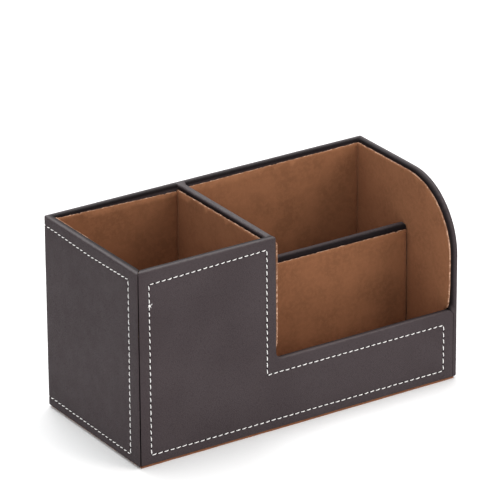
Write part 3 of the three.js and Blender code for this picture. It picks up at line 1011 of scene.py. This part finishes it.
class Nodes:
    """Short ways to make and link the nodes of one material."""

    def __init__(self, name):
        self.material = bpy.data.materials.new(name)
        self.material.use_nodes = True
        self.tree = self.material.node_tree
        self.shader = self.tree.nodes["Principled BSDF"]
        coords = self.add("TexCoord")
        scale = self.add("VectorMath")
        scale.operation = "SCALE"
        scale.inputs["Scale"].default_value = 1 / MM
        self.tree.links.new(coords.outputs["Object"], scale.inputs[0])
        self.place = scale.outputs[0]

    def add(self, kind):
        return self.tree.nodes.new("ShaderNode" + kind)

    def link(self, source, target):
        self.tree.links.new(source, target)

    def feed(self, socket, value):
        """Gives a socket a number, a colour or another node's output."""
        if isinstance(value, (int, float, tuple)):
            socket.default_value = value
        else:
            self.link(value, socket)

    def noise(self, size, detail=3.0, roughness=0.5):
        """Cloudy noise from 0 to 1 with bumps about size millimetres across."""
        node = self.add("TexNoise")
        node.inputs["Scale"].default_value = 1 / size
        node.inputs["Detail"].default_value = detail
        node.inputs["Roughness"].default_value = roughness
        self.link(self.place, node.inputs["Vector"])
        return node.outputs["Fac"]

    def cells(self, size):
        """The distance to the nearest border between cells of a size in millimetres."""
        node = self.add("TexVoronoi")
        node.feature = "DISTANCE_TO_EDGE"
        node.inputs["Scale"].default_value = 1 / size
        self.link(self.place, node.inputs["Vector"])
        return node.outputs["Distance"]

    def ramp(self, value, low, high, low_value=0.0, high_value=1.0):
        node = self.add("MapRange")
        node.interpolation_type = "SMOOTHSTEP"
        for name, number in (("From Min", low), ("From Max", high),
                             ("To Min", low_value), ("To Max", high_value)):
            node.inputs[name].default_value = number
        self.link(value, node.inputs["Value"])
        return node.outputs["Result"]

    def maths(self, operation, first, second):
        node = self.add("Math")
        node.operation = operation
        for socket, value in zip(node.inputs, (first, second)):
            self.feed(socket, value)
        return node.outputs[0]

    def mix(self, share, first, second):
        """A colour between two, each a colour or another node's output."""
        node = self.add("Mix")
        node.data_type = "RGBA"
        for socket, value in ((node.inputs[0], share), (node.inputs[6], first),
                              (node.inputs[7], second)):
            self.feed(socket, value)
        return node.outputs[2]

    def bump(self, height, distance, strength=1.0, below=None):
        """Bump of a height from 0 to 1 over a distance in millimetres."""
        node = self.add("Bump")
        node.inputs["Distance"].default_value = distance * MM
        node.inputs["Strength"].default_value = strength
        self.link(height, node.inputs["Height"])
        if below is not None:
            self.link(below, node.inputs["Normal"])
        return node.outputs["Normal"]

    def attribute(self, name):
        node = self.add("Attribute")
        node.attribute_name = name
        return node.outputs["Fac"]

    def set(self, **values):
        for name, value in values.items():
            self.feed(self.shader.inputs[name.replace("_", " ")], value)


def leather_material():
    """Dark imitation leather: fine pebbled grain, soft cloudiness, folds rubbed paler with a
    painted highlight, and painted shade in seams, stitch holes and down the inner sides of rims and
    caps.
    """
    n = Nodes("leather")
    cloud = n.noise(42, 2)
    patch = n.noise(7)
    pebble = n.ramp(n.cells(0.8), 0.0, 0.28)
    fine = n.noise(0.4, 3, 0.6)
    tone = n.mix(n.ramp(cloud, 0.35, 0.65), srgb(66, 58, 60), srgb(71, 63, 65))
    tone = n.mix(n.ramp(patch, 0.35, 0.7, 0.0, 0.2), tone, srgb(70, 62, 63))
    tone = n.mix(n.ramp(pebble, 0.0, 0.6, 0.35, 0.0), tone, srgb(38, 32, 34))
    # Outer folds are painted paler: part rubbed wear, part painted highlight.
    rubbed_and_highlight = n.maths("MULTIPLY", n.attribute("wear_and_highlight"), n.ramp(n.noise(2.6, 4, 0.65), 0.42, 0.68))
    tone = n.mix(n.maths("MULTIPLY", rubbed_and_highlight, 0.4), tone, srgb(96, 88, 87))
    # Painted shade: the leather darkens towards near black in seams, stitch holes and down the
    # inner sides of rims and caps.
    painted_shade = n.attribute("painted_shade")
    tone = n.mix(n.ramp(painted_shade, 0.0, 0.8, 0.0, 0.95), tone, srgb(10, 7, 8))
    grain = n.bump(pebble, 0.09, 0.8)
    surface = n.bump(fine, 0.05, 0.5, below=grain)
    polish = n.attribute("polish")
    rough = n.maths("ADD", n.ramp(patch, 0.3, 0.7, 0.5, 0.6), n.maths("MULTIPLY", polish, -0.12))
    shine = n.ramp(polish, 0.0, 1.0, 0.05, 0.35)
    shine = n.maths("MULTIPLY", shine, n.ramp(painted_shade, 0.0, 0.4, 1.0, 0.2))
    n.set(Base_Color=tone, Roughness=rough, Specular_IOR_Level=shine, Normal=surface)
    return n.material


def flock_material(name, dark, light):
    """Short flocked pile: faintly mottled, brushed here and there, with a soft sheen."""
    n = Nodes(name)
    blotch = n.noise(16)
    mottle = n.noise(2.4, 4, 0.65)
    fibre = n.noise(0.4, 3, 0.7)
    tone = n.mix(n.ramp(blotch, 0.3, 0.7, 0.15, 0.75), dark, light)
    tone = n.mix(n.ramp(mottle, 0.42, 0.62, 0.0, 0.55), tone, light)
    tone = n.mix(n.ramp(fibre, 0.45, 0.75, 0.0, 0.3), tone, dark)
    pile = n.bump(fibre, 0.18, 0.7)
    surface = n.bump(mottle, 0.2, 0.35, below=pile)
    n.set(Base_Color=tone, Roughness=0.95, Specular_IOR_Level=0.12, Sheen_Weight=0.6,
          Sheen_Roughness=0.45, Sheen_Tint=srgb(225, 160, 122), Normal=surface)
    return n.material


def cut_edge_material():
    """The raw edge of the flocked card, paler than its face."""
    n = Nodes("cut_edge")
    fibre = n.noise(0.9, 4, 0.7)
    frayed = n.noise(3.5, 3, 0.6)
    tone = n.mix(n.ramp(fibre, 0.35, 0.65), srgb(128, 88, 66), srgb(214, 174, 148))
    tone = n.mix(n.ramp(frayed, 0.4, 0.62, 0.75, 0.0), tone, srgb(112, 74, 52))
    n.set(Base_Color=tone, Roughness=0.95, Specular_IOR_Level=0.1, Normal=n.bump(fibre, 0.15))
    return n.material


def thread_material():
    """Off-white polyester thread."""
    n = Nodes("thread")
    fibre = n.noise(0.12, 2)
    tone = n.mix(n.ramp(fibre, 0.3, 0.7), srgb(244, 240, 237), srgb(255, 254, 252))
    n.set(Base_Color=tone, Roughness=0.6, Specular_IOR_Level=0.3, Sheen_Weight=0.2,
          Normal=n.bump(fibre, 0.03, 0.5))
    return n.material


def board_material():
    """Raw fibreboard, hidden under the covers."""
    n = Nodes("board")
    fibre = n.noise(1.2, 5, 0.65)
    clump = n.noise(6)
    tone = n.mix(n.ramp(fibre, 0.35, 0.65), srgb(150, 118, 82), srgb(188, 156, 116))
    tone = n.mix(n.ramp(clump, 0.4, 0.7, 0.0, 0.3), tone, srgb(130, 98, 66))
    n.set(Base_Color=tone, Roughness=n.ramp(fibre, 0.3, 0.7, 0.8, 0.95), Normal=n.bump(fibre, 0.08))
    return n.material


# ---- the organiser ----

leather = leather_material()
flock = flock_material("flocked_lining", srgb(118, 78, 53), srgb(143, 96, 67))
base_flock = flock_material("base_flock", srgb(112, 70, 48), srgb(140, 92, 64))
cut_edge = cut_edge_material()
thread = thread_material()
raw_board = board_material()

for node_name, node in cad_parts.items():
    if node_name.endswith("_board"):
        node.data.materials.clear()
        node.data.materials.append(raw_board)

front_runs = front_stitch_runs()
front_stitches = stitches_along(front_runs, front_point, 1, 11)
wrap_stitches = stitches_along(wrap_stitch_runs(), wrap_point, -1, 12)
knot = front_point(Vector((front_runs[0][0].x, KNOT_HEIGHT)))

place(leather_piece("front_leather", front_cover(), Vector((0, -1, 0)), front_fold_radius,
                    pressed_points(front_stitches), leather, 1), ["front_leather"])
place(leather_piece("wrap_leather", wrap_cover(), Vector((0, 1, 0)), wrap_fold_radius,
                    pressed_points(wrap_stitches), leather, 2), ["wrap_leather"])
place(cross_divider_cap(leather), ["cross_divider_leather"])
place(tray_divider_cap(leather), ["tray_divider_leather"])

for number, lining in enumerate(LINING_FACING):
    place(lining_piece(lining, [flock, cut_edge], 20 + number), [lining])
place(base_sheet([base_flock, base_flock]), ["base_cover"])

place(stitch_mesh("front_stitching", front_stitches, thread, 13, [knot]),
      ["front_stitching"])
place(stitch_mesh("wrap_stitching", wrap_stitches, thread, 14), ["wrap_stitching"])


# ---- floor, light and camera ----

def floor():
    bm = bmesh.new()
    bmesh.ops.create_grid(bm, x_segments=2, y_segments=2, size=3000)
    n = Nodes("floor")
    n.set(Base_Color=srgb(250, 250, 250), Roughness=0.9)
    piece = finish_mesh("floor", bm, [n.material])


def soft_light(name, position, size, power, colour=(1, 1, 1)):
    data = bpy.data.lights.new(name, "AREA")
    data.shape = "SQUARE"
    data.size = size * MM
    data.energy = power
    data.color = colour
    light = bpy.data.objects.new(name, data)
    light.location = Vector(position) * MM
    aim = Vector((0, 0, 55)) * MM - light.location
    light.rotation_mode = "QUATERNION"
    light.rotation_quaternion = aim.to_track_quat("-Z", "Y")
    bpy.context.scene.collection.objects.link(light)


def surroundings(strength):
    world = bpy.data.worlds.new("studio")
    world.use_nodes = True
    background = world.node_tree.nodes["Background"]
    background.inputs["Color"].default_value = (1, 1, 1, 1)
    background.inputs["Strength"].default_value = strength
    bpy.context.scene.world = world


def camera():
    """The camera that sees the organiser from its front left, a little from above."""
    position = Vector((-1216.7, -1870.0, 1057.1))
    azimuth, elevation, roll = math.radians(33.011), math.radians(23.53), math.radians(-0.355)
    forward = Vector((math.sin(azimuth) * math.cos(elevation),
                      math.cos(azimuth) * math.cos(elevation), -math.sin(elevation)))
    level = Vector((math.cos(azimuth), -math.sin(azimuth), 0))
    upright = level.cross(forward)
    right = level * math.cos(roll) + upright * math.sin(roll)
    up = upright * math.cos(roll) - level * math.sin(roll)
    data = bpy.data.cameras.new("camera")
    data.sensor_width = 36
    data.lens = 320.63
    data.clip_start, data.clip_end = 0.05, 50
    seen = bpy.data.objects.new("camera", data)
    turn = Matrix((right, up, -forward)).transposed().to_4x4()
    seen.matrix_world = Matrix.Translation(position * MM) @ turn
    bpy.context.scene.collection.objects.link(seen)
    bpy.context.scene.camera = seen


bpy.context.scene.view_settings.view_transform = "Standard"
floor()
surroundings(strength=0.8)
soft_light("overhead", (100, 280, 1450), size=1000, power=14)
soft_light("front_left", (-900, -1200, 900), size=800, power=3.5, colour=(0.88, 0.97, 1.0))
soft_light("front_right", (900, -1300, 800), size=800, power=10, colour=(1.0, 0.95, 0.92))
soft_light("back", (200, 1300, 1100), size=800, power=4)
camera()
